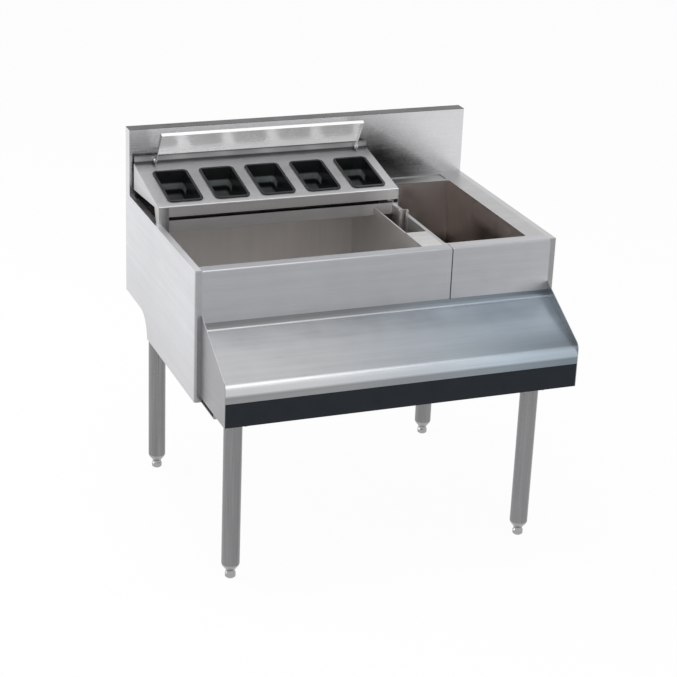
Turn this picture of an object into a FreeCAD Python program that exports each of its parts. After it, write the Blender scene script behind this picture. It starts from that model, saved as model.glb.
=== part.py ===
"""Underbar cocktail unit: an insulated ice bin beside a small sink, on four tubular legs.

Behind the bin a tilted tray holds five lift-out condiment pans under a hinged lid,
and a sloping apron with a dark fascia runs along the front.

Units are millimetres.  X runs to the right, Y to the back (the wall), Z up.
The origin is on the floor, at the middle of the whole footprint.
"""
import FreeCAD, Part
import math
import os

# ---------------------------------------------------------------- driving sizes
unit_width = 914.4            # 36 inch module
body_depth = 609.6            # 24 inch, front face to the wall
rim_height = 762.0            # 30 inch working height
body_height = 325.0           # rim to the cabinet's underside
sheet = 1.5                   # stainless sheet
corner_bend = 6.0             # outer radius of the folded front edges
seam_bend = 3.0               # outer radius of the folded edges at the front seam
corner_post = 16.2            # width of the side panels' folded returns

splash_height = 172.0         # backsplash above the rim
splash_return = 35.6          # depth of the backsplash's top
splash_back_flange = 30.0     # its returns on the wall side

notch_depth = 200.0           # plumbing notch, forward from the wall
notch_height = 61.0           # and up from the cabinet's underside
notch_radius = 60.0

seam_from_sink = 4.5          # front seam, right of the sink's left wall
seam_gap = 0.8
front_rim = 30.0              # depth of the rim in front of the bin
bin_length = 450.0            # ice bin opening; its width is what the sink leaves
bin_depth = 270.0
bin_rear_rise = 44.0          # the floor steps up over the notch
bin_rear_step = 55.0          # run of that slope
bin_rear_floor = 55.0         # length of the raised floor
bin_floor_radius = 12.0
foam_front = 27.0
foam_bottom = 29.0
foam_rear = 25.0
foam_right = 25.0
foam_step_gap = 8.0           # foam above the raised cabinet floor
foam_bend_ahead = 14.0        # its underside rises from here in front of the notch
foam_bend_behind = 31.0       # to here behind it
foam_hole_gap = 2.0           # round the waste

divider_width = 54.0          # between the bin and the sink's left strip
divider_cap_length = 104.0
divider_lip = 10.0
trough_length = 350.0         # utility pocket behind the divider cap
trough_depth = 120.0
trough_cover = 14.0           # its length hidden under the cap
guide_width = 24.0            # slotted upright in the pocket
guide_depth = 12.0
guide_slot = 9.0
guide_back = 225.0            # front of the bin opening to the upright
guide_rise = 17.0             # its top above the rim

sink_strip = 10.0             # strip between the pocket and the sink
sink_width = 214.4
sink_right_rim = 48.6         # sink to the right side's folded return
sink_length = 462.0
sink_front_rim = 38.0
sink_depth = 203.0
sink_corner = 5.0
sink_floor_radius = 4.5
ledge_length = 46.0           # shallow recess in the deck behind the sink
ledge_gap = 12.0
ledge_depth = 2.5

apron_reach = 183.0           # nose in front of the body
apron_inset = 15.2            # unit's side to the apron's end
apron_drop = 143.0            # rim to where the slope meets the front
apron_flange = 14.0           # its upturned edge against the front
apron_root_radius = 10.0
nose_radius = 21.0
nose_drop = 231.0             # rim to the nose's centre
nose_edge_drop = 253.0        # rim to the lower edge of the bright nose
apron_bottom_drop = 311.5
nose_hem = 14.0
cheek_nose_rise = 1.2         # cheek's corner over the nose's centre, in nose radii
fascia_sheet = 3.0
fascia_return = 22.0
cheek_drop = 107.0            # rim to where the end cheeks leave the front

rail_depth = 100.0            # channel that carries the apron and the front legs
rail_height = 24.0
rail_sheet = 2.5
channel_width = 66.0          # channels that carry the legs
channel_height = 24.0
rear_channel_depth = 80.0
channel_end_gap = 5.0         # side channels stop short of the notch

leg_diameter = 44.45          # 1-3/4 inch tube
leg_wall = 1.6
leg_inset = 75.2              # unit's side to each front leg
rear_leg_side_inset = 70.2
front_leg_ahead = 64.0        # front legs, in front of the body's face
rear_leg_inset = 45.6         # rear legs, in front of the wall
leg_plate = 62.0
leg_plate_thickness = 4.0
leg_plate_corner = 6.0
leg_plug_length = 40.0
leg_fit = 0.1
plate_bolt_pitch = 46.0
plate_bolt_head_radius = 5.8
plate_bolt_head = 4.0
tube_end = 38.0               # height of the tube's lower end
leg_nut_height = 14.0
foot_travel = 25.0            # reach of the screw
foot_stem_radius = 8.0
foot_stem_fit = 0.06
foot_stem_spare = 37.0        # stem above that reach
foot_pad_radius = 13.0
foot_neck_radius = 11.0
foot_shoulder_radius = 21.0
foot_pad_height = 12.0
foot_neck_height = 20.0
foot_neck_length = 4.0
foot_shoulder_height = 34.0
foot_edge = 3.0               # bevel round the foot's underside

tray_left_inset = 8.2         # tray end, from the body's left side
tray_front = 335.0            # tray front, back from the body's face
tray_front_height = 44.0      # its top edge above the rim
tray_slope = 0.189            # rise of the deck per unit of depth
tray_length = 227.0
tray_face_height = 26.0
tray_sheet = 1.5
tray_face_hem = 8.0
tray_rail_drop = 21.0         # the cross rail hangs below the rim
tray_rail_height = 29.0
tray_tongue = 6.0             # tabs inside the opening that carry the rail
tray_rail_gap = 1.0           # the bin's right wall is cut down this far below the rail
tray_rail_flange = 16.0
tray_leg = 22.0               # front foot of each tray end
tray_leg_slant = 15.0         # run of the slanted edge behind it
tray_end_front = 9.0          # height of the tray end behind that foot
tray_end_rear = 67.0
tray_post_flange = 26.0
upstand_height = 22.0
tray_foot_flange = 14.0

pan_count = 5
pan_gap = 29.0                # between rims
pan_left_margin = 31.3        # tray end to the first rim
pan_right_margin = 24.7
pan_length = 160.0
pan_from_front = 22.0
pan_depth = 64.0
pan_taper = 6.0
pan_rim = 4.5
pan_rim_thickness = 2.5
pan_wall = 2.0
pan_fit = 0.7
pan_lift = 0.1                # rim above the deck, so the faces only touch
pan_corner = 9.0
pan_inner_corner = 1.0        # least corner radius inside

lid_left_inset = 53.5         # tray end to the lid
lid_right_inset = 35.5
lid_length = 94.5             # pivot to the lip
lid_open = 62.0               # angle above the level as it stands
lid_lip = 12.0
lid_bend = 3.0
lid_root = 21.7               # pivot to the near edge of the sheet
lid_ear = 6.0
lid_ear_ease = 0.5            # its rounding stays this much under a half circle
pivot_above_deck = 9.5
pivot_from_rear = 8.5
pin_radius = 3.0
pin_fit = 0.06
pin_head_radius = 5.5
pin_head = 3.0
bracket_sheet = 2.0
bracket_gap = 0.6
bracket_width = 14.0
pin_stand_out = 2.0           # pin past the lid's ear

sink_drain_hole = 44.0
drain_flange_radius = 55.0
drain_flange = 2.0
flange_bevel = 2.0
drain_cup_radius = 42.5
drain_seat_radius = 40.6
drain_throat_radius = 38.0
drain_seat_depth = 8.0
drain_cup_depth = 46.0
tail_radius = 19.05           # 1-1/2 inch tailpiece
tail_wall = 1.5
tail_reach = 32.0             # both wastes end this far below the cabinet floor
slip_nut_radius = 27.0        # nut that joins the tailpiece to the cup
slip_nut_height = 18.0
waste_hole_gap = 6.0          # round the tailpiece in the cabinet floor
gasket_thickness = 3.5
drain_nut_radius = 53.0
drain_nut_height = 12.0
drain_nut_lug = 5.0
drain_lugs = 6
drain_lug_width = 6.0
drain_lug_step = 3.0          # lugs are this much lower than the ring
drain_clearance = 0.3
basket_gap = 0.2              # basket and strainer above their seats
basket_rim_gap = 0.4
basket_cup_gap = 1.0
basket_depth = 22.0
basket_wall = 1.2
basket_foot = 3.0             # run of its slanted lower corner
basket_foot_rise = 6.0
basket_holes = 8
basket_hole_radius = 3.0
basket_hole_circle = 24.0
basket_knob_radius = 6.0
basket_knob_height = 20.0

bin_drain_flange_radius = 38.0
bin_drain_flange = 1.5
nipple_radius = 16.7          # 1 inch pipe, below the nut
nipple_shoulder_radius = 17.6
nipple_wall = 3.4
bin_nut_radius = 27.0
bin_nut_height = 9.0
strainer_radius = 34.0
strainer_sheet = 1.5
strainer_rise = 5.0
strainer_holes = 8
strainer_edge = 6.0           # flat crown outside the holes
strainer_hole_radius = 2.5
strainer_hole_circle = 23.0
strainer_knob_radius = 5.0
strainer_knob_height = 14.0

# ---------------------------------------------------------------- derived places
V = FreeCAD.Vector
x_left = -unit_width / 2
x_right = unit_width / 2
y_front = (apron_reach - body_depth) / 2
y_rear = y_front + body_depth
y_nose = y_front - apron_reach
body_bottom = rim_height - body_height
y_splash = y_rear - splash_return
z_rim = rim_height
z_deck_under = rim_height - sheet
z_splash = rim_height + splash_height
z_notch = body_bottom + notch_height
y_notch = y_rear - notch_depth

post_left = x_left + corner_post
post_right = x_right - corner_post
sink_right = post_right - sink_right_rim
sink_left = sink_right - sink_width
strip_left = sink_left - sink_strip
x_seam = sink_left + seam_from_sink
bin_left = post_left
bin_right = strip_left - divider_width
bin_front = y_front + front_rim
bin_rear = bin_front + bin_length
bin_floor = rim_height - bin_depth
sink_front = y_front + sink_front_rim
sink_rear = sink_front + sink_length
sink_floor = rim_height - sink_depth
trough_front = bin_front + divider_cap_length - trough_cover
trough_rear = trough_front + trough_length
trough_floor = rim_height - trough_depth

apron_left = x_left + apron_inset
apron_right = x_right - apron_inset
apron_top = rim_height - apron_drop
nose_centre_height = rim_height - nose_drop
nose_bottom = rim_height - nose_edge_drop
apron_bottom = rim_height - apron_bottom_drop
cheek_top = rim_height - cheek_drop
channel_bottom = body_bottom - channel_height
rear_channel_bottom = z_notch - channel_height
y_front_legs = y_front - front_leg_ahead
y_rear_legs = y_rear - rear_leg_inset
leg_spread = x_right - leg_inset
rear_leg_spread = x_right - rear_leg_side_inset
leg_places = {
    "front_left": (-leg_spread, y_front_legs, channel_bottom),
    "front_right": (leg_spread, y_front_legs, channel_bottom),
    "rear_left": (-rear_leg_spread, y_rear_legs, rear_channel_bottom),
    "rear_right": (rear_leg_spread, y_rear_legs, rear_channel_bottom),
}

tray_left = x_left + tray_left_inset
tray_right = sink_left
tray_y = y_front + tray_front
tray_rear = tray_y + tray_length
tray_top = rim_height + tray_front_height
tray_tilt = math.atan(tray_slope)
pan_row = tray_right - tray_left - pan_left_margin - pan_right_margin
pan_width = (pan_row - (pan_count - 1) * pan_gap) / pan_count
pan_pitch = pan_width + pan_gap
pan_first_x = tray_left + pan_left_margin + pan_width / 2
lid_x0 = tray_left + lid_left_inset
lid_x1 = tray_right - lid_right_inset
pivot_y = tray_rear - pivot_from_rear
pivot_z = tray_top + tray_slope * (pivot_y - tray_y) + pivot_above_deck
rail_top = rim_height - tray_rail_drop + tray_rail_height
rail_bottom = rim_height - tray_rail_drop
sink_drain_x = (sink_left + sink_right) / 2
sink_drain_y = (sink_front + sink_rear) / 2
sink_drain_base = sink_floor + drain_flange - drain_cup_depth
tail_bottom = body_bottom - tail_reach
bin_drain_x = (bin_left + bin_right) / 2
bin_drain_y = bin_front + (bin_length - bin_rear_step - bin_rear_floor) / 2


# ---------------------------------------------------------------- shape helpers
def box(x0, x1, y0, y1, z0, z1):
    return Part.makeBox(x1 - x0, y1 - y0, z1 - z0, V(x0, y0, z0))


def in_yz(a, b):
    return V(0, a, b)


def in_xz(a, b):
    return V(a, 0, b)


def in_xy(a, b):
    return V(a, b, 0)


def outline(points, plane):
    """Closed face through (a, b) or (a, b, radius) corners; a radius rounds its corner."""
    corners = [(p[0], p[1], p[2] if len(p) > 2 else 0.0) for p in points]
    count = len(corners)
    entries = []
    for i in range(count):
        here = V(corners[i][0], corners[i][1], 0)
        before = V(corners[i - 1][0], corners[i - 1][1], 0)
        after = V(corners[(i + 1) % count][0], corners[(i + 1) % count][1], 0)
        entries.append(round_corner(before, here, after, corners[i][2]))
    edges = []
    for i in range(count):
        start, middle, end = entries[i]
        if middle is not None:
            edges.append(Part.Arc(flat(start, plane), flat(middle, plane), flat(end, plane)).toShape())
        following = entries[(i + 1) % count][0]
        if (following - end).Length > 1e-6:
            edges.append(Part.LineSegment(flat(end, plane), flat(following, plane)).toShape())
    return Part.Face(Part.Wire(edges))


def flat(point, plane):
    return plane(point.x, point.y)


def round_corner(before, here, after, radius):
    """Start, middle and end of the arc that rounds one corner of an outline."""
    if radius <= 0:
        return here, None, here
    back = (before - here).normalize()
    onward = (after - here).normalize()
    half = back.getAngle(onward) / 2
    reach = radius / math.tan(half)
    start = here + back * reach
    end = here + onward * reach
    centre = here + (back + onward).normalize() * (radius / math.sin(half))
    middle = centre + (here - centre).normalize() * radius
    return start, middle, end


def slab_x(points, x0, x1):
    """Outline in the YZ plane, run along X."""
    face = outline(points, in_yz)
    face.translate(V(x0, 0, 0))
    return face.extrude(V(x1 - x0, 0, 0))


def slab_z(points, z0, z1):
    """Outline in the XY plane, run up Z."""
    face = outline(points, in_xy)
    face.translate(V(0, 0, z0))
    return face.extrude(V(0, 0, z1 - z0))


def folded(path, thickness):
    """Outline of a sheet whose visible face follows the path; the sheet lies to its left."""
    points = [V(p[0], p[1], 0) for p in path]
    radii = [p[2] if len(p) > 2 else 0.0 for p in path]
    ways = [(points[i + 1] - points[i]).normalize() for i in range(len(points) - 1)]
    lefts = [V(-w.y, w.x, 0) for w in ways]
    other = [(points[0] + lefts[0] * thickness, 0.0)]
    for i in range(1, len(points) - 1):
        turn = ways[i - 1].x * ways[i].y - ways[i - 1].y * ways[i].x
        middle = (lefts[i - 1] + lefts[i]).normalize()
        reach = thickness / middle.dot(lefts[i])
        radius = 0.0
        if radii[i] > 0:
            radius = radii[i] - thickness if turn > 0 else radii[i] + thickness
        other.append((points[i] + middle * reach, max(radius, 0.0)))
    other.append((points[-1] + lefts[-1] * thickness, 0.0))
    face = [(p.x, p.y, r) for p, r in zip(points, radii)]
    back = [(p.x, p.y, r) for p, r in reversed(other)]
    return face + back


def turned(points, x, y):
    """Solid of revolution about a vertical axis from (radius, height) corners."""
    face = outline(points, in_xz)
    solid = face.revolve(V(0, 0, 0), V(0, 0, 1), 360)
    solid.translate(V(x, y, 0))
    return solid


def drum(x, y, z0, z1, radius):
    return Part.makeCylinder(radius, z1 - z0, V(x, y, z0))


def joined(shapes):
    return shapes[0].multiFuse(shapes[1:]).removeSplitter()


def group(shapes):
    return Part.makeCompound(shapes)


def hexagon(x, y, radius, z0, z1):
    points = [(x + radius * math.cos(math.radians(60 * i)),
               y + radius * math.sin(math.radians(60 * i))) for i in range(6)]
    return slab_z(points, z0, z1)


def at(value, place):
    return abs(value - place) < 0.1


def edges_along(shape, direction, test):
    """Straight edges of a solid that run one way and whose middle passes a test."""
    found = []
    for edge in shape.Edges:
        if edge.Curve.TypeId != "Part::GeomLine":
            continue
        way = edge.tangentAt(edge.FirstParameter)
        if abs(abs(way.dot(direction)) - 1) < 1e-6 and test(edge.CenterOfMass):
            found.append(edge)
    return found


# ---------------------------------------------------------------- cabinet
def side_outline(inset):
    """Side of the cabinet with the plumbing notch, drawn in by the sheet for the inner face."""
    return [
        (y_front + inset, body_bottom + inset),
        (y_notch - inset, body_bottom + inset),
        (y_notch - inset, z_notch + inset, notch_radius + inset),
        (y_rear - inset, z_notch + inset),
        (y_rear - inset, z_rim - inset),
        (y_front + inset, z_rim - inset),
    ]


def side_panel(sign):
    """Pan-shaped side: one face and a return along every edge, rounded at the front."""
    outer_x = sign * unit_width / 2
    inner_x = outer_x - sign * corner_post
    low, high = sorted((outer_x, inner_x))
    block = slab_x(side_outline(0), low, high)
    front = edges_along(block, V(0, 0, 1), lambda c: at(c.x, outer_x) and at(c.y, y_front))
    block = block.makeFillet(corner_bend, front)
    low, high = sorted((outer_x - sign * sheet, inner_x))
    hollow = slab_x(side_outline(sheet), low, high)
    inside_x = outer_x - sign * sheet
    front = edges_along(hollow, V(0, 0, 1), lambda c: at(c.x, inside_x) and at(c.y, y_front + sheet))
    hollow = hollow.makeFillet(corner_bend - sheet, front)
    return block.cut(hollow)


def front_panel(x0, x1, seam_sign):
    """Front face with the front rim folded over it and a return at the seam."""
    seam_x = x1 if seam_sign > 0 else x0
    block = box(x0, x1, y_front, bin_front, body_bottom, z_rim)
    top = edges_along(block, V(1, 0, 0), lambda c: at(c.y, y_front) and at(c.z, z_rim))
    block = block.makeFillet(corner_bend, top)
    seam = edges_along(block, V(0, 0, 1), lambda c: at(c.x, seam_x) and at(c.y, y_front))
    block = block.makeFillet(seam_bend, seam)
    hollow_x0 = x0 if seam_sign > 0 else x0 + sheet
    hollow_x1 = x1 - sheet if seam_sign > 0 else x1
    hollow = box(hollow_x0, hollow_x1, y_front + sheet, bin_front, body_bottom + sheet, z_deck_under)
    top = edges_along(hollow, V(1, 0, 0), lambda c: at(c.y, y_front + sheet) and at(c.z, z_deck_under))
    hollow = hollow.makeFillet(corner_bend - sheet, top)
    return block.cut(hollow)


def backsplash():
    """Folded splash: face, top and ends, with returns round the open wall side."""
    block = box(x_left, x_right, y_splash, y_rear, z_rim, z_splash)
    hollow = box(x_left + sheet, x_right - sheet, y_splash + sheet, y_rear - sheet, z_rim, z_splash - sheet)
    window = box(x_left + splash_back_flange, x_right - splash_back_flange,
                 y_rear - sheet, y_rear, z_rim, z_splash - splash_back_flange)
    return block.cut(hollow).cut(window)


def rear_panel():
    return box(post_left, post_right, y_rear - sheet, y_rear, z_notch + sheet, z_deck_under)


def bottom_pan():
    """Floor of the cabinet, stepped up over the plumbing notch, with holes for both wastes."""
    path = [
        (bin_front, body_bottom),
        (y_notch, body_bottom),
        (y_notch, z_notch, notch_radius),
        (y_rear, z_notch),
    ]
    pan = slab_x(folded(path, sheet), post_left, post_right)
    for x, y, radius in ((sink_drain_x, sink_drain_y, tail_radius + waste_hole_gap),
                         (bin_drain_x, bin_drain_y, nipple_shoulder_radius + drain_clearance)):
        pan = pan.cut(drum(x, y, body_bottom - sheet, body_bottom + 2 * sheet, radius))
    return pan


def deck_bin():
    """Strip of deck behind the bin."""
    return box(post_left, strip_left, bin_rear, y_rear, z_deck_under, z_rim)


def deck_sink():
    """Deck round the sink, with a shallow ledge recess behind it."""
    plate = box(strip_left, post_right, bin_front, y_rear, z_deck_under, z_rim)
    ledge_y0 = sink_rear + ledge_gap
    ledge_y1 = ledge_y0 + ledge_length
    ledge = box(sink_left, sink_right, ledge_y0, ledge_y1, z_deck_under - ledge_depth, z_deck_under)
    recess = box(sink_left + sheet, sink_right - sheet, ledge_y0 + sheet, ledge_y1 - sheet,
                 z_rim - ledge_depth, z_rim)
    opening = slab_z([(sink_left, sink_front, sink_corner), (sink_right, sink_front, sink_corner),
                      (sink_right, sink_rear, sink_corner), (sink_left, sink_rear, sink_corner)],
                     z_deck_under, z_rim)
    return joined([plate, ledge]).cut(recess).cut(opening)


def divider_cap():
    """Bright cap over the front of the divider, with a lip turned down into the pocket."""
    cap_rear = bin_front + divider_cap_length
    path = [
        (cap_rear, z_rim - divider_lip),
        (cap_rear, z_rim, 1.25 * sheet),
        (bin_front, z_rim),
    ]
    cap = slab_x(folded(path, sheet), bin_right, strip_left)
    return cap.cut(box(bin_right, bin_right + 2 * sheet, cap_rear - 2 * sheet, cap_rear + sheet,
                       z_rim - divider_lip - sheet, z_deck_under))


def utility_trough():
    """Open pocket behind the divider cap."""
    outer = box(bin_right + sheet, strip_left + sheet, trough_front, trough_rear,
                trough_floor - sheet, z_deck_under)
    inner = box(bin_right + 2 * sheet, strip_left, trough_front + sheet, trough_rear - sheet,
                trough_floor, z_deck_under)
    return outer.cut(inner).cut(wall_relief())


def guide_channel():
    """Slotted upright at the sink side of the pocket."""
    y0 = bin_front + guide_back - guide_depth
    y1 = bin_front + guide_back
    x1 = strip_left
    x0 = x1 - guide_width
    lip = (guide_width - guide_slot) / 2
    points = [(x0, y0), (x0 + lip, y0), (x0 + lip, y0 + sheet), (x0 + sheet, y0 + sheet),
              (x0 + sheet, y1 - sheet), (x1 - sheet, y1 - sheet), (x1 - sheet, y0 + sheet),
              (x1 - lip, y0 + sheet), (x1 - lip, y0), (x1, y0), (x1, y1), (x0, y1)]
    return slab_z(points, trough_floor, z_rim + guide_rise)


# ---------------------------------------------------------------- ice bin
def bin_section(grow, top):
    """Section of the bin along Y and Z: its floor steps up towards the back."""
    slope_start = bin_rear - bin_rear_floor - bin_rear_step
    slope_end = bin_rear - bin_rear_floor
    ease = grow * math.tan(math.atan2(bin_rear_rise, bin_rear_step) / 2)
    radius = bin_floor_radius + grow
    return [
        (bin_front - grow, top),
        (bin_front - grow, bin_floor - grow, radius),
        (slope_start + ease, bin_floor - grow),
        (slope_end + ease, bin_floor + bin_rear_rise - grow),
        (bin_rear + grow, bin_floor + bin_rear_rise - grow, radius),
        (bin_rear + grow, top),
    ]


def bin_liner():
    """Thin stainless liner with a waste hole, cut down under the tray on the pocket's side."""
    shell = slab_x(bin_section(sheet, z_deck_under), bin_left - sheet, bin_right + sheet)
    room = slab_x(bin_section(0, z_deck_under), bin_left, bin_right)
    liner = shell.cut(room).cut(wall_relief())
    return liner.cut(drum(bin_drain_x, bin_drain_y, bin_floor - 2 * sheet, bin_floor + sheet,
                          nipple_shoulder_radius + drain_clearance))


def wall_relief():
    """Space under the tray where the walls between bin and pocket are cut down."""
    return box(bin_right - sheet, bin_right + 3 * sheet, tray_y, bin_rear,
               rail_bottom - tray_rail_gap, z_rim)


def bin_insulation():
    """Foam round the liner, cut away for the pocket and the waste."""
    left = x_left + sheet
    right = bin_right + sheet + foam_right
    front = bin_front - foam_front
    rear = bin_rear + sheet + foam_rear
    low = bin_floor - sheet - foam_bottom
    step = z_notch + foam_step_gap
    points = [(front, low), (y_notch - foam_bend_ahead, low), (y_notch + foam_bend_behind, step),
              (rear, step), (rear, z_deck_under - sheet), (front, z_deck_under - sheet)]
    foam = slab_x(points, left, right)
    foam = foam.cut(slab_x(bin_section(sheet, z_rim), bin_left - sheet, bin_right + sheet))
    foam = foam.cut(box(bin_right + sheet, right, trough_front, rear, trough_floor - sheet, z_rim))
    foam = foam.cut(box(bin_right + sheet, right, front, trough_front, z_rim - 2 * divider_lip, z_rim))
    post = box(left, post_left, y_front, y_front + corner_bend, low, z_rim)
    foam = foam.cut(post)
    return foam.cut(drum(bin_drain_x, bin_drain_y, low - sheet, bin_floor,
                         nipple_shoulder_radius + foam_hole_gap))


def bin_drain():
    """Flanged nipple that drains the melt water, drawn in below the nut for the pipe."""
    bore = nipple_radius - nipple_wall
    shoulder = body_bottom - bin_nut_height
    points = [(bore, tail_bottom), (nipple_radius, tail_bottom), (nipple_radius, shoulder),
              (nipple_shoulder_radius, shoulder), (nipple_shoulder_radius, bin_floor),
              (bin_drain_flange_radius, bin_floor),
              (bin_drain_flange_radius - flange_bevel, bin_floor + bin_drain_flange),
              (bore, bin_floor + bin_drain_flange)]
    return turned(points, bin_drain_x, bin_drain_y)


def bin_drain_nut():
    """Hexagon nut that clamps the nipple under the cabinet floor."""
    top = body_bottom
    nut = hexagon(bin_drain_x, bin_drain_y, bin_nut_radius, top - bin_nut_height, top)
    return nut.cut(drum(bin_drain_x, bin_drain_y, top - bin_nut_height, top, nipple_shoulder_radius))


def bin_strainer():
    """Lift-out perforated cap over the bin's waste."""
    seat = bin_floor + bin_drain_flange + basket_gap
    crown = seat + strainer_rise
    shoulder = strainer_hole_circle + strainer_edge
    inside = crown - strainer_sheet
    points = [(0, crown), (0, inside), (shoulder - strainer_sheet / 2, inside),
              (strainer_radius - strainer_sheet, seat), (strainer_radius, seat),
              (shoulder, crown)]
    cap = turned(points, bin_drain_x, bin_drain_y)
    for i in range(strainer_holes):
        angle = math.radians(360 / strainer_holes * i)
        cap = cap.cut(drum(bin_drain_x + strainer_hole_circle * math.cos(angle),
                           bin_drain_y + strainer_hole_circle * math.sin(angle),
                           seat, crown + strainer_sheet, strainer_hole_radius))
    knob = drum(bin_drain_x, bin_drain_y, crown - strainer_sheet, crown + strainer_knob_height,
                strainer_knob_radius)
    return joined([cap, knob])


# ---------------------------------------------------------------- sink
def sink_bowl():
    """Deep bowl welded under the deck's opening."""
    outer = box(sink_left - sheet, sink_right + sheet, sink_front - sheet, sink_rear + sheet,
                sink_floor - sheet, z_deck_under)
    inner = box(sink_left, sink_right, sink_front, sink_rear, sink_floor, z_deck_under)
    outer = rounded_bowl(outer, sink_corner + sheet, sink_floor_radius + sheet, sink_floor - sheet)
    inner = rounded_bowl(inner, sink_corner, sink_floor_radius, sink_floor)
    bowl = outer.cut(inner)
    return bowl.cut(drum(sink_drain_x, sink_drain_y, sink_floor - 2 * sheet, sink_floor + sheet,
                         sink_drain_hole))


def rounded_bowl(block, corner, floor, bottom):
    """Round a block's upright edges, then the edges round its underside."""
    block = block.makeFillet(corner, edges_along(block, V(0, 0, 1), lambda c: True))
    low = [edge for edge in block.Edges if at(edge.BoundBox.ZMax, bottom)]
    return block.makeFillet(floor, low)


def sink_drain():
    """Drain cup with a seat for the basket, and the slip nut and tailpiece below it."""
    top = sink_floor + drain_flange
    seat = top - drain_seat_depth
    base = sink_drain_base
    points = [
        (drain_seat_radius, top), (drain_flange_radius - flange_bevel, top),
        (drain_flange_radius, sink_floor), (drain_cup_radius, sink_floor),
        (drain_cup_radius, base), (slip_nut_radius, base),
        (slip_nut_radius, base - slip_nut_height), (tail_radius, base - slip_nut_height),
        (tail_radius, tail_bottom), (tail_radius - tail_wall, tail_bottom),
        (tail_radius - tail_wall, base + 2 * tail_wall), (drain_throat_radius, base + 2 * tail_wall),
        (drain_throat_radius, seat), (drain_seat_radius, seat),
    ]
    return turned(points, sink_drain_x, sink_drain_y)


def drain_ring(inner, outer, z0, z1):
    return turned([(inner, z0), (outer, z0), (outer, z1), (inner, z1)], sink_drain_x, sink_drain_y)


def sink_drain_gasket():
    top = sink_floor - sheet
    return drain_ring(drain_cup_radius + drain_clearance, drain_nut_radius, top - gasket_thickness, top)


def sink_drain_nut():
    """Ring nut with turning lugs."""
    top = sink_floor - sheet - gasket_thickness
    parts = [drain_ring(drain_cup_radius, drain_nut_radius, top - drain_nut_height, top)]
    for i in range(drain_lugs):
        lug = box(drain_nut_radius - sheet, drain_nut_radius + drain_nut_lug,
                  -drain_lug_width / 2, drain_lug_width / 2, top - drain_nut_height, top - drain_lug_step)
        lug.rotate(V(0, 0, 0), V(0, 0, 1), 360 / drain_lugs * i)
        lug.translate(V(sink_drain_x, sink_drain_y, 0))
        parts.append(lug)
    return joined(parts)


def sink_basket():
    """Lift-out basket strainer with a knob."""
    seat = sink_floor + drain_flange - drain_seat_depth + basket_gap
    rim_radius = drain_seat_radius - basket_rim_gap
    cup = drain_throat_radius - basket_cup_gap
    inside = cup - basket_wall
    low = seat - basket_depth
    points = [
        (0, low), (cup - basket_foot, low), (cup, low + basket_foot_rise), (cup, seat), (rim_radius, seat),
        (rim_radius, seat + basket_wall), (inside, seat + basket_wall),
        (inside, low + basket_foot_rise), (inside - basket_foot, low + basket_wall), (0, low + basket_wall),
    ]
    basket = turned(points, sink_drain_x, sink_drain_y)
    for i in range(basket_holes):
        angle = math.radians(360 / basket_holes * i)
        basket = basket.cut(drum(sink_drain_x + basket_hole_circle * math.cos(angle),
                                 sink_drain_y + basket_hole_circle * math.sin(angle),
                                 low - basket_wall, low + 2 * basket_wall, basket_hole_radius))
    knob = drum(sink_drain_x, sink_drain_y, low, low + basket_knob_height, basket_knob_radius)
    return joined([basket, knob])


# ---------------------------------------------------------------- apron
def apron_slope():
    """One sheet: flange, concave root, slope, rounded nose and short vertical front."""
    centre_y = y_nose + nose_radius
    rise = apron_top - nose_centre_height
    run = y_front - centre_y
    reach = math.hypot(run, rise)
    pitch = math.atan2(rise, run) - math.asin(nose_radius / reach)
    corner_z = apron_top - (y_front - y_nose) * math.tan(pitch)
    path = [
        (y_nose + nose_hem, nose_bottom),
        (y_nose, nose_bottom),
        (y_nose, corner_z, nose_radius),
        (y_front - sheet, apron_top - sheet * math.tan(pitch), apron_root_radius),
        (y_front - sheet, apron_top + apron_flange),
    ]
    visible = list(reversed(path))
    return slab_x(folded(visible, sheet), apron_left + sheet, apron_right - sheet)


def apron_fascia():
    """Dark front strip under the nose, with a return along its lower edge."""
    path = [
        (y_nose + fascia_return, apron_bottom),
        (y_nose, apron_bottom),
        (y_nose, nose_bottom),
    ]
    visible = list(reversed(path))
    return slab_x(folded(visible, fascia_sheet), apron_left + sheet, apron_right - sheet)


def apron_end(sign):
    """Flat cheek that closes one end of the apron."""
    outer_x = apron_left if sign < 0 else apron_right
    low, high = sorted((outer_x, outer_x - sign * sheet))
    points = [
        (y_front, apron_bottom),
        (y_nose, apron_bottom),
        (y_nose, nose_centre_height + nose_radius * cheek_nose_rise, nose_radius),
        (y_front, cheek_top),
    ]
    return slab_x(points, low, high)


def apron_rail():
    """Cross channel under the apron that carries it and the front legs."""
    outer = box(apron_left + sheet, apron_right - sheet, y_front - rail_depth, y_front,
                body_bottom, body_bottom + rail_height)
    inner = box(apron_left + sheet, apron_right - sheet,
                y_front - rail_depth + rail_sheet, y_front - rail_sheet,
                body_bottom + rail_sheet, body_bottom + rail_height)
    return outer.cut(inner)


# ---------------------------------------------------------------- legs
def leg_channel(sign):
    """Channel along one side, under the apron rail and the cabinet floor."""
    middle = sign * leg_spread
    x0 = middle - channel_width / 2
    x1 = middle + channel_width / 2
    front = y_front - rail_depth
    rear = y_notch - channel_end_gap
    outer = box(x0, x1, front, rear, channel_bottom, body_bottom)
    inner = box(x0 + rail_sheet, x1 - rail_sheet, front, rear, channel_bottom + rail_sheet, body_bottom)
    return outer.cut(inner)


def leg_channel_rear():
    """Channel across the back, under the raised floor of the notch."""
    y0 = y_rear_legs - rear_channel_depth / 2
    y1 = y_rear_legs + rear_channel_depth / 2
    outer = box(post_left, post_right, y0, y1, rear_channel_bottom, z_notch)
    inner = box(post_left, post_right, y0 + rail_sheet, y1 - rail_sheet,
                rear_channel_bottom + rail_sheet, z_notch)
    return outer.cut(inner)


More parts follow.
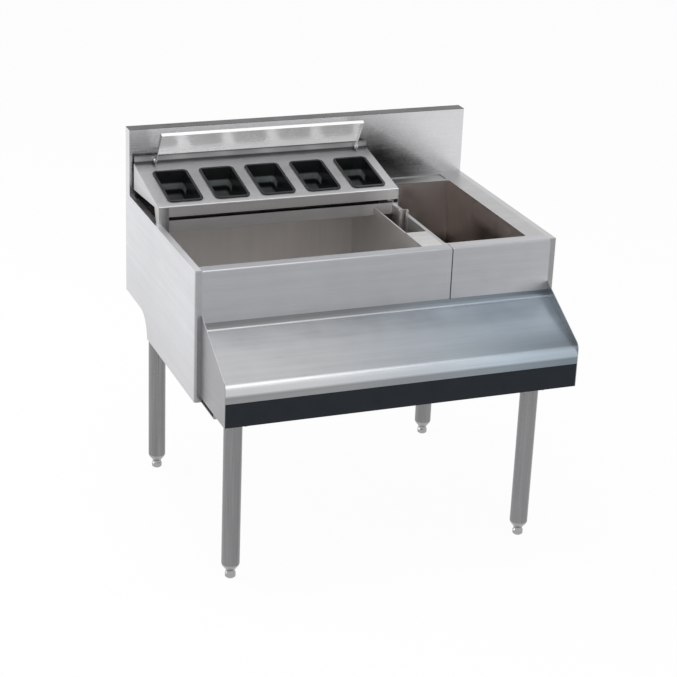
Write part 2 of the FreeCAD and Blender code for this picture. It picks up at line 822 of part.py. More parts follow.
def leg_mount(place):
    """Square plate with a plug that the leg tube slides over."""
    x, y, top = leg_places[place]
    half = leg_plate / 2
    plate_low = top - leg_plate_thickness
    corner = leg_plate_corner
    plate = slab_z([(x - half, y - half, corner), (x + half, y - half, corner),
                    (x + half, y + half, corner), (x - half, y + half, corner)], plate_low, top)
    plug = drum(x, y, plate_low - leg_plug_length, plate_low, leg_diameter / 2 - leg_wall - leg_fit)
    return joined([plate, plug])


def plate_bolts():
    """Four hexagon heads under each leg plate."""
    heads = []
    for x, y, top in leg_places.values():
        z1 = top - leg_plate_thickness
        for dx in (-plate_bolt_pitch / 2, plate_bolt_pitch / 2):
            for dy in (-plate_bolt_pitch / 2, plate_bolt_pitch / 2):
                heads.append(hexagon(x + dx, y + dy, plate_bolt_head_radius, z1 - plate_bolt_head, z1))
    return group(heads)


def leg(place):
    """Tube with a nut plug welded in its lower end."""
    x, y, top = leg_places[place]
    radius = leg_diameter / 2
    bore = radius - leg_wall
    hole = foot_stem_radius + foot_stem_fit
    tube_top = top - leg_plate_thickness
    points = [(hole, tube_end), (radius, tube_end), (radius, tube_top), (bore, tube_top),
              (bore, tube_end + leg_nut_height), (hole, tube_end + leg_nut_height)]
    return turned(points, x, y)


def foot(place):
    """Screw-in bullet foot: pad, neck, cone and stem."""
    x, y, top = leg_places[place]
    stem_top = tube_end + foot_travel + foot_stem_spare
    points = [(0, 0), (foot_pad_radius - foot_edge, 0), (foot_pad_radius, foot_edge),
              (foot_pad_radius, foot_pad_height), (foot_neck_radius, foot_neck_height - foot_neck_length),
              (foot_neck_radius, foot_neck_height), (foot_shoulder_radius, foot_shoulder_height),
              (foot_shoulder_radius, tube_end), (foot_stem_radius, tube_end),
              (foot_stem_radius, stem_top), (0, stem_top)]
    return turned(points, x, y)


# ---------------------------------------------------------------- condiment tray
def deck_height(y):
    """Height of the tilted deck's top face."""
    return tray_top + tray_slope * (y - tray_y)


def on_deck(shape):
    """Tilt a shape drawn level at the tray's front top edge into the deck's plane."""
    shape.rotate(V(0, 0, 0), V(1, 0, 0), math.degrees(tray_tilt))
    shape.translate(V(0, tray_y, tray_top))
    return shape


def pan_middle(index):
    return pan_first_x + pan_pitch * index


def pan_opening(index, grow, z0, z1):
    """Rounded prism in the deck's own plane, where one pan passes through."""
    half = pan_width / 2 - pan_rim + grow
    x = pan_middle(index)
    y0 = pan_from_front + pan_rim - grow
    y1 = pan_from_front + pan_length - pan_rim + grow
    return slab_z([(x - half, y0, pan_corner), (x + half, y0, pan_corner),
                   (x + half, y1, pan_corner), (x - half, y1, pan_corner)], z0, z1)


def tray_deck():
    """Tilted plate with one opening for each pan and a rounded front edge."""
    slant = tray_length / math.cos(tray_tilt)
    plate = box(tray_left + tray_sheet, tray_right - tray_sheet, 0, slant, -tray_sheet, 0)
    for index in range(pan_count):
        plate = plate.cut(pan_opening(index, pan_fit, -2 * tray_sheet, tray_sheet))
    deck = on_deck(plate)
    keep = box(tray_left, tray_right, tray_y, tray_rear - tray_sheet, z_rim, z_splash)
    return deck.common(keep)


def tray_front_face():
    """Upright front of the tray, hemmed at its lower edge."""
    top = deck_height(tray_y) - tray_sheet / math.cos(tray_tilt)
    path = [
        (tray_y + tray_face_hem, tray_top - tray_face_height),
        (tray_y, tray_top - tray_face_height),
        (tray_y, top),
    ]
    visible = list(reversed(path))
    return slab_x(folded(visible, tray_sheet), tray_left + tray_post_flange, tray_right - tray_sheet)


def tray_rail():
    """Cross rail below the tray's front, hung between the tray ends."""
    y0 = tray_y + 2 * tray_sheet
    path = [
        (y0 + tray_rail_flange, rail_top),
        (y0, rail_top),
        (y0, rail_bottom),
        (y0 + tray_rail_flange, rail_bottom),
    ]
    return slab_x(folded(path, tray_sheet), bin_left + sheet, strip_left - sheet)


def tray_end(sign):
    """End plate: a foot at the front, cut away below the deck, with a bright front flange."""
    outer_x = tray_left if sign < 0 else tray_right
    low, high = sorted((outer_x, outer_x - sign * tray_sheet))
    points = [
        (tray_y, z_rim),
        (tray_y, tray_top),
        (tray_rear, deck_height(tray_rear)),
        (tray_rear, deck_height(tray_rear) - tray_end_rear),
        (tray_y + tray_leg + tray_leg_slant, tray_top - tray_end_front),
        (tray_y + tray_leg, z_rim),
    ]
    pieces = [slab_x(points, low, high)]
    opening = bin_left if sign < 0 else strip_left
    inner = opening - sign * tray_tongue
    low, high = sorted((outer_x - sign * tray_sheet, inner))
    pieces.append(box(low, high, tray_y + tray_sheet, tray_y + 2 * tray_sheet, z_rim, rail_top))
    low, high = sorted((opening, inner))
    pieces.append(box(low, high, tray_y + tray_sheet, tray_y + 2 * tray_sheet, rail_bottom, z_rim))
    if sign < 0:
        under = deck_height(tray_y) - tray_sheet / math.cos(tray_tilt)
        edge = tray_left + tray_post_flange
        pieces.append(box(tray_left + tray_sheet, edge, tray_y, tray_y + tray_sheet, z_rim, under))
        pieces.append(box(opening, edge, tray_y, tray_y + tray_sheet, rail_bottom, z_rim))
    return joined(pieces)


def tray_back():
    """Rear wall of the tray: a foot on the deck, and an upstand above it for the hinge."""
    y1 = tray_rear
    top = pivot_z + upstand_height - pivot_above_deck
    path = [
        (y1 - tray_foot_flange, z_rim),
        (y1, z_rim),
        (y1, top),
    ]
    return slab_x(folded(path, tray_sheet), tray_left + tray_sheet, tray_right - tray_sheet)


def pan(index):
    """Tapered black pan whose rim rests on the deck."""
    x = pan_middle(index)
    half = pan_width / 2
    y0 = pan_from_front
    y1 = pan_from_front + pan_length
    rim = slab_z([(x - half, y0, pan_corner + pan_rim), (x + half, y0, pan_corner + pan_rim),
                  (x + half, y1, pan_corner + pan_rim), (x - half, y1, pan_corner + pan_rim)],
                 pan_lift, pan_lift + pan_rim_thickness)
    body = pan_body(index, 0, -pan_depth, pan_lift)
    room = pan_body(index, pan_wall, -pan_depth + pan_wall, 2 * pan_lift + pan_rim_thickness)
    return on_deck(joined([rim, body]).cut(room))


def pan_body(index, inset, z0, z1):
    """Loft from the pan's floor to its rim, drawn in by the wall for the inside."""
    taper = pan_taper * (z1 - z0) / pan_depth
    rings = []
    for z, draw in ((z0, inset + taper), (z1, inset)):
        half = pan_width / 2 - pan_rim - draw
        x = pan_middle(index)
        low = pan_from_front + pan_rim + draw
        high = pan_from_front + pan_length - pan_rim - draw
        radius = max(pan_corner - inset, pan_inner_corner)
        face = outline([(x - half, low, radius), (x + half, low, radius),
                        (x + half, high, radius), (x - half, high, radius)], in_xy)
        face.translate(V(0, 0, z))
        rings.append(face.OuterWire)
    return Part.makeLoft(rings, True, True)


# ---------------------------------------------------------------- lid
def lid_frame(shape):
    """Turn a lid drawn level towards the front, about its pivot, to the angle it stands at."""
    shape.rotate(V(0, 0, 0), V(1, 0, 0), -lid_open)
    shape.translate(V(0, pivot_y, pivot_z))
    return shape


def lid():
    """Light hinged lid: sheet, front lip and an ear at each end round the pins."""
    top_face = [
        (-lid_length, -lid_lip),
        (-lid_length, 0, lid_bend),
        (-lid_root, 0),
    ]
    sheet_part = slab_x(folded(list(reversed(top_face)), tray_sheet), lid_x0, lid_x1)
    rounding = lid_ear - lid_ear_ease
    ear = [(-lid_length, -lid_lip), (-lid_length, 0, lid_bend), (-lid_root, 0),
           (-lid_ear, lid_ear, lid_ear / 2), (lid_ear, lid_ear, rounding),
           (lid_ear, -lid_ear, rounding), (-lid_root, -lid_ear)]
    parts = [sheet_part]
    for x0, x1 in ((lid_x0, lid_x0 + tray_sheet), (lid_x1 - tray_sheet, lid_x1)):
        parts.append(slab_x(ear, x0, x1))
    solid = joined(parts)
    hole = Part.makeCylinder(pin_radius + pin_fit, lid_x1 - lid_x0, V(lid_x0, 0, 0), V(1, 0, 0))
    return lid_frame(solid.cut(hole))


def lid_bracket(sign):
    """Upright tab just outside the lid that carries one pin."""
    edge = lid_x1 if sign > 0 else lid_x0
    inner = edge + sign * bracket_gap
    low, high = sorted((inner, inner + sign * bracket_sheet))
    half = bracket_width / 2
    front = pivot_y - half
    rear = tray_rear - tray_sheet
    points = [(front, deck_height(front)), (front, pivot_z + half, half - lid_ear_ease),
              (rear, pivot_z + half), (rear, deck_height(rear))]
    tab = slab_x(points, low, high)
    hole = Part.makeCylinder(pin_radius, bracket_sheet, V(low, pivot_y, pivot_z), V(1, 0, 0))
    return tab.cut(hole)


def lid_pins():
    """Headed pins, one at each end of the lid."""
    pins = []
    for sign, edge in ((-1, lid_x0), (1, lid_x1)):
        outside = edge + sign * (bracket_gap + bracket_sheet)
        inside = edge - sign * (tray_sheet + pin_stand_out)
        start, end = sorted((inside, outside))
        shaft = Part.makeCylinder(pin_radius, end - start, V(start, pivot_y, pivot_z), V(1, 0, 0))
        head_start = min(outside, outside + sign * pin_head)
        head = Part.makeCylinder(pin_head_radius, pin_head, V(head_start, pivot_y, pivot_z), V(1, 0, 0))
        pins.append(joined([shaft, head]))
    return group(pins)


# ---------------------------------------------------------------- assembly
def build():
    nodes = {
        "side_panel_left": side_panel(-1),
        "side_panel_right": side_panel(1),
        "front_panel_bin": front_panel(post_left, x_seam - seam_gap / 2, 1),
        "front_panel_sink": front_panel(x_seam + seam_gap / 2, post_right, -1),
        "backsplash": backsplash(),
        "rear_panel": rear_panel(),
        "bottom_pan": bottom_pan(),
        "deck_bin": deck_bin(),
        "deck_sink": deck_sink(),
        "divider_cap": divider_cap(),
        "utility_trough": utility_trough(),
        "guide_channel": guide_channel(),
        "bin_liner": bin_liner(),
        "bin_insulation": bin_insulation(),
        "bin_drain": bin_drain(),
        "bin_drain_nut": bin_drain_nut(),
        "bin_strainer": bin_strainer(),
        "sink_bowl": sink_bowl(),
        "sink_drain": sink_drain(),
        "sink_drain_gasket": sink_drain_gasket(),
        "sink_drain_nut": sink_drain_nut(),
        "sink_basket": sink_basket(),
        "apron_slope": apron_slope(),
        "apron_fascia": apron_fascia(),
        "apron_end_left": apron_end(-1),
        "apron_end_right": apron_end(1),
        "apron_rail": apron_rail(),
        "leg_channel_left": leg_channel(-1),
        "leg_channel_right": leg_channel(1),
        "leg_channel_rear": leg_channel_rear(),
        "leg_mounts": group([leg_mount(place) for place in leg_places]),
        "leg_plate_bolts": plate_bolts(),
        "tray_deck": tray_deck(),
        "tray_front": tray_front_face(),
        "tray_rail": tray_rail(),
        "tray_end_left": tray_end(-1),
        "tray_end_right": tray_end(1),
        "tray_back": tray_back(),
        "lid": lid(),
        "lid_bracket_left": lid_bracket(-1),
        "lid_bracket_right": lid_bracket(1),
        "lid_pins": lid_pins(),
    }
    for place in leg_places:
        nodes["leg_" + place] = leg(place)
        nodes["foot_" + place] = foot(place)
    for index in range(pan_count):
        nodes["pan_%d" % (index + 1)] = pan(index)
    return nodes


os.makedirs("parts", exist_ok=True)
for name, shape in build().items():
    shape.exportStep("parts/%s.step" % name)
    print("%-20s solids %d valid %s volume %.0f" % (name, len(shape.Solids), shape.isValid(), shape.Volume))
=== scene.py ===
import bpy
from mathutils import Matrix, Vector

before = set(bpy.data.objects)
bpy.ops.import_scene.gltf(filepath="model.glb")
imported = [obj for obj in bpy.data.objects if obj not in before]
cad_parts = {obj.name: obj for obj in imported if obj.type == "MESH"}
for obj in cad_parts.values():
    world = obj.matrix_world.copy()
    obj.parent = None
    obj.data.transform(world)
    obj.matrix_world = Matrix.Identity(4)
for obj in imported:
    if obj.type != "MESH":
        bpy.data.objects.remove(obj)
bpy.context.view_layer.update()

# Every piece keeps the mesh of the CAD. This script gives the pieces their materials, and adds the
# floor, the lamps and the camera. Lengths are metres: x to the right, y to the wall, z up.

# ---------------------------------------------------------------- values
deck_slope = 0.189                    # rise of the tray deck towards the wall
deck_level = 0.783                    # height of the deck's plane where y is 0
wedge_lean = 0.667                    # lean of the edge of the painted dark reflection (the wedge) on the backsplash

# Scales of the noises, in cycles per metre. Lines have one across the brushing and one along it.
fine_lines = (900.0, 7.0)
broad_lines = (70.0, 1.6)
scratch_lines = (300.0, 22.0)
cloud_scale = (3.2, 3.2, 3.2)
handling_scale = (17.0, 17.0, 17.0)
rubbing_scale = (23.0, 23.0, 23.0)
dust_scale = (160.0, 160.0, 60.0)

# Bands of a noise: nearly all of it, and the peaks that make scratches and dust
whole_noise = (0.3, 0.7)
scratch_peaks = (0.70, 0.80)
dust_peaks = (0.58, 0.75)

cloud_contrast = 0.06                 # of steel, from the darkest cloud to the lightest
scratch_height = -0.5                 # what a scratch adds to the height of the fine lines
brushed_depth = 0.00004               # of a bump of full strength
moulded_depth = 0.00015
# colour of a painted cool reflection, multiplied in where a steel's bluish ramps reach
bluish_tint = (0.78, 0.90, 1.0, 1.0)

white = (1.0, 1.0, 1.0, 1.0)
paper = (0.90, 0.90, 0.90, 1.0)
paper_glow = 0.95                     # how much of the floor the camera sees as plain white
ambient = 0.55                        # strength of the world where it only gives light
floor_size = 60.0
floor_drop = 0.0005                   # keeps the floor just below the feet


# ---------------------------------------------------------------- nodes
def new_material(name):
    """A new material, its node tree and its shader."""
    material = bpy.data.materials.new(name)
    material.use_nodes = True
    tree = material.node_tree
    return material, tree, tree.nodes["Principled BSDF"]


def add(tree, kind, inputs=None, **settings):
    """Add a node; an input given as a socket is linked and any other value is set."""
    made = tree.nodes.new("ShaderNode" + kind)
    for key, value in settings.items():
        setattr(made, key, value)
    for key, value in (inputs or {}).items():
        if isinstance(value, bpy.types.NodeSocket):
            tree.links.new(value, made.inputs[key])
        else:
            made.inputs[key].default_value = value
    return made


def place(tree):
    """The point in the piece's own space, so that a pattern moves with its piece."""
    return add(tree, "TexCoord").outputs["Object"]


def noise(tree, scale, detail, rough=0.55, shift=(0.0, 0.0, 0.0)):
    """Noise over the piece's metres; the shift keeps one noise apart from another."""
    spread = add(tree, "Mapping", {"Vector": place(tree), "Scale": scale, "Location": shift})
    made = add(tree, "TexNoise", {"Vector": spread.outputs["Vector"], "Scale": 1.0,
                                  "Detail": detail, "Roughness": rough})
    return made.outputs["Fac"]


def remap(tree, value, low, high, band=whole_noise):
    """Carry the band over to the range from low to high; past its ends the value holds."""
    start, end = band
    made = add(tree, "MapRange", {"Value": value, "From Min": start, "From Max": end,
                                  "To Min": low, "To Max": high})
    return made.outputs["Result"]


def math_node(tree, kind, first, second):
    return add(tree, "Math", {0: first, 1: second}, operation=kind).outputs["Value"]


def combined(tree, kind, values):
    """The sum, product or maximum of a list of values."""
    made = values[0]
    for value in values[1:]:
        made = math_node(tree, kind, made, value)
    return made


def measured(tree, spot, axis):
    """A point's x, y or z, its d across the painted dark reflection's edge, or its height w over the
    tray deck.
    """
    if axis == "d":
        return math_node(tree, "ADD", math_node(tree, "MULTIPLY", spot["X"], wedge_lean), spot["Z"])
    if axis == "w":
        above = math_node(tree, "SUBTRACT", spot["Z"], deck_level)
        return math_node(tree, "SUBTRACT", above, math_node(tree, "MULTIPLY", spot["Y"], deck_slope))
    return spot[axis.upper()]


def fade(tree, ramps):
    """Product of soft ramps. A ramp is an axis, where it is 0 and where it is 1."""
    spot = add(tree, "SeparateXYZ", {"Vector": place(tree)}).outputs
    return combined(tree, "MULTIPLY", [
        remap(tree, measured(tree, spot, axis), 0.0, 1.0, (start, end))
        for axis, start, end in ramps
    ])


def painted_light_and_shade(tree, patches):
    """Broad soft painted light and shade in a surface's colour. A patch is a gain and the ramps it
    fades in by.
    """
    factors = []
    for gain, ramps in patches:
        share = math_node(tree, "MULTIPLY", fade(tree, ramps), gain)
        factors.append(math_node(tree, "ADD", share, 1.0))
    return combined(tree, "MULTIPLY", factors)


def tinted(tree, colour, factor):
    """A colour times a varying factor."""
    made = add(tree, "VectorMath", {0: colour, "Scale": factor}, operation="SCALE")
    return made.outputs["Vector"]


def bumped(tree, shader, height, strength, depth):
    made = add(tree, "Bump", {"Height": height, "Strength": strength, "Distance": depth})
    tree.links.new(made.outputs["Normal"], shader.inputs["Normal"])


def along(grain, scales):
    """Scale of a noise whose lines run along one axis."""
    across_scale, along_scale = scales
    return tuple(along_scale if axis == grain else across_scale for axis in "xyz")


def seen_directly(tree):
    """1 for camera, mirror and glass rays, and 0 for the diffuse light on the object."""
    rays = add(tree, "LightPath").outputs
    kinds = ("Is Camera Ray", "Is Glossy Ray", "Is Transmission Ray")
    return combined(tree, "MAXIMUM", [rays[kind] for kind in kinds])


# ---------------------------------------------------------------- kinds of material
def steel(name, colour, grain, rough=0.34, streaks=0.10, metal=1.0, relief=0.25,
          patches=(), bluish=()):
    """Brushed sheet or tube: fine and broad lines along the grain, handling marks, thin scratches."""
    material, tree, shader = new_material(name)
    fine = noise(tree, along(grain, fine_lines), 2.0)
    broad = noise(tree, along(grain, broad_lines), 3.0, shift=(3.1, 1.7, 5.3))
    cloud = noise(tree, cloud_scale, 4.0, 0.6, shift=(7.7, 2.9, 0.4))
    handled = noise(tree, handling_scale, 5.0, 0.65, shift=(1.3, 8.8, 4.1))
    scratch = noise(tree, along(grain, scratch_lines), 1.0, shift=(9.2, 4.4, 6.6))

    factor = combined(tree, "ADD", [
        remap(tree, fine, -streaks / 2, streaks / 2),
        remap(tree, broad, 1.0 - streaks / 3, 1.0 + streaks / 3),
        remap(tree, cloud, -cloud_contrast / 2, cloud_contrast / 2),
    ])
    # Painted light and shade from the patches.
    if patches:
        factor = math_node(tree, "MULTIPLY", factor, painted_light_and_shade(tree, patches))
    tone = tinted(tree, colour, factor)
    # Painted cool reflection: the tone turns bluish where the bluish ramps reach.
    if bluish:
        mixed = add(tree, "MixRGB", {"Fac": fade(tree, bluish), "Color1": tone,
                                     "Color2": bluish_tint}, blend_type="MULTIPLY")
        tone = mixed.outputs["Color"]
    tree.links.new(tone, shader.inputs["Base Color"])

    roughness = combined(tree, "ADD", [
        remap(tree, handled, rough - 0.05, rough + 0.07),
        remap(tree, fine, -0.03, 0.03),
        remap(tree, scratch, 0.0, 0.04, scratch_peaks),
    ])
    tree.links.new(roughness, shader.inputs["Roughness"])
    shader.inputs["Metallic"].default_value = metal
    scratched = remap(tree, scratch, 0.0, scratch_height, scratch_peaks)
    height = math_node(tree, "ADD", fine, scratched)
    bumped(tree, shader, height, relief, brushed_depth)
    return material


def moulded(name, colour, rough, wear, relief=0.3, cells=900.0, gloss=0.5, patches=()):
    """Moulded plastic, rubber or foam: fine texture, rubbed patches and a little dust."""
    material, tree, shader = new_material(name)
    skin = noise(tree, (cells, cells, cells), 2.0)
    rubbed = noise(tree, rubbing_scale, 5.0, 0.62, shift=(2.0, 5.0, 1.0))
    dust = noise(tree, dust_scale, 4.0, 0.7, shift=(6.0, 1.0, 3.0))

    factor = combined(tree, "ADD", [
        remap(tree, rubbed, 1.0 - wear, 1.0 + wear),
        remap(tree, skin, -0.08, 0.08),
        remap(tree, dust, 0.0, wear, dust_peaks),
    ])
    # Painted light and shade from the patches.
    if patches:
        factor = math_node(tree, "MULTIPLY", factor, painted_light_and_shade(tree, patches))
    tree.links.new(tinted(tree, colour, factor), shader.inputs["Base Color"])

    roughness = combined(tree, "ADD", [
        remap(tree, rubbed, rough - 0.06, rough + 0.08),
        remap(tree, dust, 0.0, 0.08),
    ])
    tree.links.new(roughness, shader.inputs["Roughness"])
    shader.inputs["Specular IOR Level"].default_value = gloss
    bumped(tree, shader, skin, relief, moulded_depth)
    return material


# ---------------------------------------------------------------- body
# The side, far side and front steels are copies of one stainless, with base colours set to paint
# the light on each face: the side lightest, the front darkest.
rim_top = ("z", 0.758, 0.761)
lower_side = ("z", 0.62, 0.45)
near_front_fold = ("y", -0.206, -0.212)
# Painted light and shade on the near side: darker towards the bottom and along the front fold,
# and a painted highlight on the rim's top.
side_steel = steel("stainless_side", (0.625, 0.63, 0.65), "y", patches=[
    (-0.10, [lower_side]),
    (-0.44, [near_front_fold]),
    (0.12, [rim_top]),
])

# Painted shade along the far side's front fold.
far_front_fold = ("y", -0.204, -0.210)
far_side_steel = steel("stainless_far_side", (0.52, 0.52, 0.53), "y", patches=[
    (-0.42, [far_front_fold]),
])

# Painted light on the front: lighter towards the right, a painted pool of light off the apron
# on the right just above it, and a painted highlight on the rim's top behind the front.
right_half = ("x", 0.05, 0.40)
over_the_apron = [("x", 0.13, 0.38), ("z", 0.68, 0.63)]
behind_the_front = ("y", -0.210, -0.204)
front_steel = steel("stainless_front", (0.385, 0.39, 0.41), "x", patches=[
    (0.10, [right_half]),
    (0.36, over_the_apron),
    (0.14, [behind_the_front, rim_top]),
])

hidden_steel = steel("stainless_plain", (0.42, 0.42, 0.42), "x")
# Painted shade: the deck strip under the tray is given a near-black steel for the shade there.
under_tray_shade_steel = steel("stainless_painted_shade_under_tray", (0.12, 0.12, 0.12), "x", rough=0.42)
deck_steel = steel("stainless_deck", (0.45, 0.445, 0.45), "x")

# ---------------------------------------------------------------- backsplash
# Painted light and shade on the backsplash, a lighter copy of the stainless: darker behind the lid,
# a painted dark reflection (the wedge) right of the tray behind the sink, painted shade on the top
# return.
splash_face = ("y", 0.3617, 0.3612)
behind_the_lid = ("x", 0.10, -0.45)
dark_wedge = [("x", 0.12, 0.22), ("d", 1.037, 0.963), splash_face]
splash_return = ("z", 0.9325, 0.9338)
splash_patches = [
    (-0.12, [behind_the_lid, splash_face]),
    (-0.64, dark_wedge),
    (-0.64, dark_wedge),              # twice, which makes its edge steeper
    (-0.96, [splash_return]),
]
splash_steel = steel("stainless_splash", (0.66, 0.66, 0.675), "x", rough=0.26, streaks=0.05,
                     relief=0.10, patches=splash_patches)

# ---------------------------------------------------------------- apron
# Painted light and shade on the apron, a darker copy of the stainless: lighter at the root on the
# right,
# a painted dark line at the upturned edge, darker down the slope and most on the right,
# a painted highlight along the nose, stronger on the right, and painted shade under the nose.
apron_root = [("x", -0.05, 0.15), ("y", -0.270, -0.225)]
upturned_edge = ("z", 0.6165, 0.6195)
lower_slope = ("y", -0.300, -0.360)
lower_right_slope = [("x", 0.12, 0.42), ("y", -0.300, -0.370)]
nose = ("y", -0.380, -0.392)
nose_right = ("x", 0.10, 0.42)
nose_underside = ("z", 0.530, 0.524)
right_part = ("x", -0.20, 0.30)
apron_patches = [
    (0.24, apron_root),
    (-0.45, [upturned_edge]),
    (-0.10, [lower_slope]),
    (-0.42, lower_right_slope),
    (0.50, [nose]),
    (0.50, [nose_right, nose]),
    (-0.50, [nose_underside]),
]
# Its right part takes a painted cool reflection.
apron_steel = steel("stainless_apron", (0.43, 0.435, 0.445), "x", patches=apron_patches,
                    bluish=[right_part])
# The fascia's black is a painted dark reflection, given as a black moulded skin.
fascia_painted_reflection = moulded("dark_fascia", (0.007, 0.010, 0.014), rough=0.34, wear=0.18, relief=0.15,
                      gloss=0.18)

# ---------------------------------------------------------------- bin and sink
# Painted shadow: the top of the bin's rear wall is darkened where the tray's shadow falls.
bin_rear_top = [("y", 0.258, 0.263), ("z", 0.719, 0.723)]
liner_steel = steel("stainless_liner", (0.64, 0.62, 0.61), "z", rough=0.42, streaks=0.05, patches=[
    (-0.88, bin_rear_top),
])

# Painted shade in the sink bowl: darker towards the bottom, and darker in the front part below the
# rim.
bowl_bottom = ("z", 0.625, 0.595)
bowl_front = [("z", 0.722, 0.700), ("y", 0.15, 0.06)]
bowl_steel = steel("stainless_bowl", (0.72, 0.65, 0.62), "z", rough=0.36, streaks=0.06, patches=[
    (-0.70, [bowl_bottom]),
    (-0.62, bowl_front),
])

foam = moulded("foam", (0.55, 0.47, 0.28), rough=0.90, wear=0.20, relief=0.9, cells=420.0)
rubber = moulded("gasket_rubber", (0.020, 0.020, 0.020), rough=0.62, wear=0.30)
cast_steel = steel("stainless_bright", (0.58, 0.58, 0.57), "x", rough=0.20)

# ---------------------------------------------------------------- tray, pans and lid
# Painted light and shade on the tray: a painted highlight along the deck's front bend,
# and painted shade towards the rear under the lid.
tray_front_bend = ("y", 0.1270, 0.1235)
under_the_lid = ("y", 0.300, 0.340)
tray_steel = steel("stainless_tray", (0.50, 0.50, 0.51), "x", patches=[
    (0.90, [tray_front_bend]),
    (-0.25, [under_the_lid]),
])

# Painted shade on the tray's upstand: a dark line at its foot and another along its top edge, under
# the lid.
below_upstand = ("z", 0.8560, 0.8535)
upstand_edge = ("z", 0.8650, 0.8670)
back_steel = steel("stainless_tray_back", (0.50, 0.50, 0.51), "x", patches=[
    (-0.80, [below_upstand]),
    (-0.50, [upstand_edge]),
])

# The tray's face and rail take a darker, duller copy of the tray's steel, which paints their shade;
# painted light lightens the face at the right end, and painted shade darkens the gap behind it.
face_right = ("x", 0.08, 0.16)
behind_the_face = ("y", 0.1256, 0.1266)
face_patches = [
    (0.90, [face_right]),
    (-0.85, [behind_the_face]),
]
face_steel = steel("stainless_tray_face", (0.35, 0.34, 0.34), "x", rough=0.48, metal=0.7,
                   patches=face_patches)

# Painted shade on the tray's left end plate, a darker, duller copy of the tray's steel:
# darker low towards the front, and darker on the front face inward of the front corner.
lower_end = [("z", 0.812, 0.785), ("y", 0.1225, 0.135)]
end_front_flange = [("x", -0.446, -0.428), ("y", 0.1236, 0.1230)]
end_patches = [
    (-0.30, lower_end),
    (-0.55, end_front_flange),
]
end_steel = steel("stainless_tray_end", (0.49, 0.485, 0.49), "y", rough=0.40, metal=0.8,
                  patches=end_patches)

# The lid's steel is a lighter, less metallic copy of the tray's, which paints the light falling on
# it;
# painted shade on the outside of its left ear.
left_ear_outside = ("x", -0.3940, -0.3953)
lid_steel = steel("stainless_lid", (0.92, 0.92, 0.92), "x", rough=0.24, streaks=0.04, metal=0.40,
                  patches=[(-0.85, [left_ear_outside])])

# Painted reflections in the pans: a glint band on the rear wall, and a lighter band low on the walls.
pan_rear_glint = [("w", -0.029, -0.034), ("w", -0.050, -0.045), ("y", 0.262, 0.270)]
pan_bottom = [("w", -0.058, -0.063), ("w", -0.086, -0.080)]
pan_patches = [
    (16.0, pan_rear_glint),
    (6.0, pan_bottom),
]
pan_skin = moulded("pan_plastic", (0.010, 0.011, 0.011), rough=0.14, wear=0.30, gloss=0.30,
                   patches=pan_patches)

# ---------------------------------------------------------------- legs
tube_steel = steel("stainless_tube", (0.232, 0.232, 0.237), "z", rough=0.26, streaks=0.30)
foot_steel = steel("stainless_foot", (0.36, 0.36, 0.36), "z", rough=0.28)
channel_steel = steel("channel_steel", (0.34, 0.34, 0.34), "y", rough=0.46)
bolt_steel = steel("fastener_steel", (0.42, 0.42, 0.43), "z", rough=0.30)

# ---------------------------------------------------------------- which piece has which material
finishes = {
    "side_panel_left": side_steel, "side_panel_right": far_side_steel,
    "front_panel_bin": front_steel, "front_panel_sink": front_steel,
    "backsplash": splash_steel, "rear_panel": hidden_steel, "bottom_pan": hidden_steel,
    "deck_bin": under_tray_shade_steel, "deck_sink": deck_steel, "divider_cap": cast_steel,
    "utility_trough": liner_steel, "guide_channel": liner_steel,
    "bin_liner": liner_steel, "bin_insulation": foam,
    "bin_drain": cast_steel, "bin_drain_nut": cast_steel, "bin_strainer": cast_steel,
    "sink_bowl": bowl_steel, "sink_drain": cast_steel, "sink_drain_gasket": rubber,
    "sink_drain_nut": cast_steel, "sink_basket": cast_steel,
    "apron_slope": apron_steel, "apron_fascia": fascia_painted_reflection, "apron_rail": channel_steel,
    "apron_end_left": side_steel, "apron_end_right": far_side_steel,
    "leg_channel_left": channel_steel, "leg_channel_right": channel_steel,
    "leg_channel_rear": channel_steel, "leg_mounts": channel_steel, "leg_plate_bolts": bolt_steel,
    "tray_deck": tray_steel, "tray_front": face_steel, "tray_rail": face_steel,
    "tray_end_left": end_steel, "tray_end_right": tray_steel, "tray_back": back_steel,
    "lid": lid_steel, "lid_bracket_left": tray_steel, "lid_bracket_right": tray_steel,
    "lid_pins": cast_steel,
}
for corner in ("front_left", "front_right", "rear_left", "rear_right"):
    finishes["leg_" + corner] = tube_steel
    finishes["foot_" + corner] = foot_steel
for number in range(1, 6):
    finishes["pan_%d" % number] = pan_skin

for name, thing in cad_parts.items():
    for slot in thing.material_slots:
        slot.link = "OBJECT"
        slot.material = finishes[name]


# ---------------------------------------------------------------- floor
def floor_material():
    """Matt white paper. Camera and mirror rays see most of it as plain white."""
    material, tree, shader = new_material("floor_paper")
    shader.inputs["Base Color"].default_value = paper
    shader.inputs["Roughness"].default_value = 0.9
    shader.inputs["Specular IOR Level"].default_value = 0.1
    glow = add(tree, "Emission", {"Color": white, "Strength": 1.0})
    share = math_node(tree, "MULTIPLY", seen_directly(tree), paper_glow)
    mixed = add(tree, "MixShader", {0: share, 1: shader.outputs["BSDF"],
                                    2: glow.outputs["Emission"]})
    tree.links.new(mixed.outputs["Shader"], tree.nodes["Material Output"].inputs["Surface"])
    return material


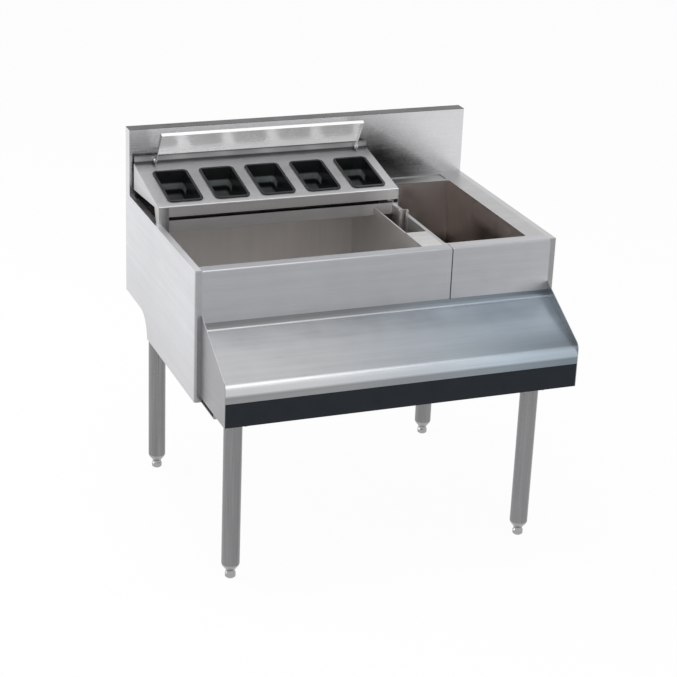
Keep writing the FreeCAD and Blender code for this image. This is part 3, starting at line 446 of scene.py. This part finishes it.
bpy.ops.mesh.primitive_plane_add(size=floor_size, location=(0.0, 0.0, -floor_drop))
floor = bpy.context.object
floor.name = "floor"
floor.data.materials.append(floor_material())


# ---------------------------------------------------------------- light
def lamp(name, spot, target, size, power, glossy=True):
    """A soft lamp turned towards a point; the camera doesn't see it."""
    data = bpy.data.lights.new(name, "AREA")
    data.shape = "RECTANGLE"
    data.size, data.size_y = size
    data.energy = power
    thing = bpy.data.objects.new(name, data)
    bpy.context.scene.collection.objects.link(thing)
    thing.location = spot
    thing.rotation_euler = (Vector(target) - Vector(spot)).to_track_quat("-Z", "Y").to_euler()
    thing.visible_camera = False
    thing.visible_glossy = glossy


lamp("side_softbox", (-3.0, 1.7, 1.5), (0.0, 0.0, 0.6), (2.4, 2.2), 60.0)
lamp("top_softbox", (-0.4, -0.6, 3.6), (0.0, 0.0, 0.6), (2.6, 2.6), 40.0)
lamp("front_fill", (-0.6, -4.4, 1.0), (0.0, 0.0, 0.7), (3.0, 1.6), 72.0, glossy=False)

world = bpy.data.worlds.new("studio")
world.use_nodes = True
bpy.context.scene.world = world
sky = world.node_tree
backdrop = sky.nodes["Background"]
backdrop.inputs["Color"].default_value = white
strength = remap(sky, seen_directly(sky), ambient, 1.0, (0.0, 1.0))
sky.links.new(strength, backdrop.inputs["Strength"])

# ---------------------------------------------------------------- camera
camera_spot = Vector((-1.6377, -4.0705, 2.2492))
camera_right = Vector((0.93408, -0.35501, 0.03836))
camera_up = Vector((0.10072, 0.36503, 0.92553))
camera_back = Vector((-0.34257, -0.86066, 0.37672))

optics = bpy.data.cameras.new("camera")
optics.sensor_width = 36.0            # in millimetres, as the focal length is
optics.lens = 100.65
optics.clip_end = 200.0
camera = bpy.data.objects.new("camera", optics)
bpy.context.scene.collection.objects.link(camera)
turn = Matrix((camera_right, camera_up, camera_back)).transposed().to_4x4()
camera.matrix_world = Matrix.Translation(camera_spot) @ turn
bpy.context.scene.camera = camera
bpy.context.scene.view_settings.view_transform = "Standard"
